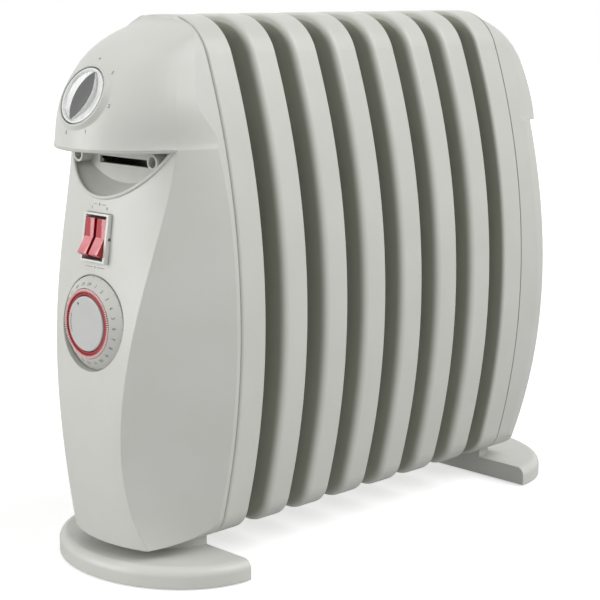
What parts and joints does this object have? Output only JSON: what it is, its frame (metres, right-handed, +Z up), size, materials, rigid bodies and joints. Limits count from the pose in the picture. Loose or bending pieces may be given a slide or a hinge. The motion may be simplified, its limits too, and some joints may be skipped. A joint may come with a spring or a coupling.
{
  "type": "oil filled radiator heater",
  "caption": "Compact oil filled radiator: barrel shaped steel fins between plastic end covers on D shaped feet, with thermostat knob, twin rocker switch and daily timer dial.",
  "frame": {"origin": "on the floor, under the middle of the heater's box", "axes": "+Z up; -Y out of the control panel; +Y along the fin pack, the longest side; +X across the fins, the shortest side"},
  "size_m": [0.163, 0.4245, 0.3575],
  "materials": {
    "cover_plastic": "satin moulded plastic",
    "fin_paint": "satin enamel",
    "zinc_steel": "zinc plated",
    "rubber": "matte",
    "knob_silver": "silver satin",
    "knob_grey": "matte",
    "control_plastic": "matte",
    "switch_white": "satin",
    "rocker_red": "glossy, lit from inside",
    "dial_white": "satin",
    "dial_grey": "satin",
    "tab_red": "satin",
    "brass": "machined",
    "element_steel": "heat tinted",
    "motor_can": "drawn can",
    "lamp_glass": "clear"
  },
  "bodies": {
    "heater": {"front_cover": "cover_plastic", "rear_cover": "cover_plastic", "front_foot": "cover_plastic", "rear_foot": "cover_plastic", "fin_1": "fin_paint", "fin_2": "fin_paint", "fin_3": "fin_paint", "fin_4": "fin_paint", "fin_5": "fin_paint", "fin_6": "fin_paint", "fin_7": "fin_paint", "fin_8": "fin_paint", "upper_collars": "fin_paint", "lower_collars": "fin_paint", "upper_front_cap": "fin_paint", "upper_rear_cap": "fin_paint", "lower_rear_cap": "fin_paint", "element_neck": "fin_paint", "front_bracket": "zinc_steel", "rear_bracket": "zinc_steel", "cover_screws": "zinc_steel", "bracket_screws": "zinc_steel", "foot_screws": "zinc_steel", "oil_filler_plug": "zinc_steel", "rocker_pin": "zinc_steel", "element_studs": "zinc_steel", "foot_pads": "rubber", "cord_bush": "rubber", "element_gasket": "rubber", "thermostat_body": "control_plastic", "timer_case": "control_plastic", "timer_contacts": "control_plastic", "terminal_block": "control_plastic", "thermal_cutout": "control_plastic", "switch_housing": "switch_white", "timer_center": "dial_grey", "switch_terminals": "brass", "element_plug": "brass", "upper_element": "element_steel", "lower_element": "element_steel", "timer_motor": "motor_can", "neon_lamps": "lamp_glass"},
    "knob": {"thermostat_knob": "knob_silver", "knob_grip": "knob_grey", "thermostat_spindle": "zinc_steel"},
    "rocker_left": {"rocker_left": "rocker_red"},
    "rocker_right": {"rocker_right": "rocker_red"},
    "timer_dial": {"timer_dial": "dial_white", "timer_ring": "tab_red"},
    "timer_pinion": {"timer_pinion": "brass"},
    "timer_tabs_1": {"timer_tabs_1": "tab_red"},
    "timer_tabs_2": {"timer_tabs_2": "tab_red"},
    "timer_tabs_3": {"timer_tabs_3": "tab_red"},
    "timer_tabs_4": {"timer_tabs_4": "tab_red"}
  },
  "joints": [
    {"name": "thermostat_turn", "type": "hinge", "parent": "heater", "child": "knob", "pos_m": [0, -0.20508, 0.30943], "axis": [0, -0.8988, 0.4384], "range_deg": [0, 280]},
    {"name": "rocker_left_tilt", "type": "hinge", "parent": "heater", "child": "rocker_left", "pos_m": [0, -0.1961, 0.21998], "axis": [1, 0, 0], "range_deg": [0, 22]},
    {"name": "rocker_right_tilt", "type": "hinge", "parent": "heater", "child": "rocker_right", "pos_m": [0, -0.1961, 0.21998], "axis": [1, 0, 0], "range_deg": [0, 22]},
    {"name": "timer_turn", "type": "hinge", "parent": "heater", "child": "timer_dial", "pos_m": [0, -0.20252, 0.1662], "axis": [0, -0.9994, 0.0349], "continuous": true},
    {"name": "pinion_turn", "type": "hinge", "parent": "heater", "child": "timer_pinion", "pos_m": [0, -0.20336, 0.14222], "axis": [0, -0.9994, 0.0349], "continuous": true},
    {"name": "timer_tabs_1_press", "type": "slide", "parent": "timer_dial", "child": "timer_tabs_1", "axis": [0, 0.9994, -0.0349], "range_m": [0, 0.0012]},
    {"name": "timer_tabs_2_press", "type": "slide", "parent": "timer_dial", "child": "timer_tabs_2", "axis": [0, 0.9994, -0.0349], "range_m": [0, 0.0012]},
    {"name": "timer_tabs_3_press", "type": "slide", "parent": "timer_dial", "child": "timer_tabs_3", "axis": [0, 0.9994, -0.0349], "range_m": [0, 0.0012]},
    {"name": "timer_tabs_4_press", "type": "slide", "parent": "timer_dial", "child": "timer_tabs_4", "axis": [0, 0.9994, -0.0349], "range_m": [0, 0.0012]}
  ],
  "couplings": [
    {"joint": "pinion_turn", "follows": "timer_turn", "ratio": -4}
  ]
}
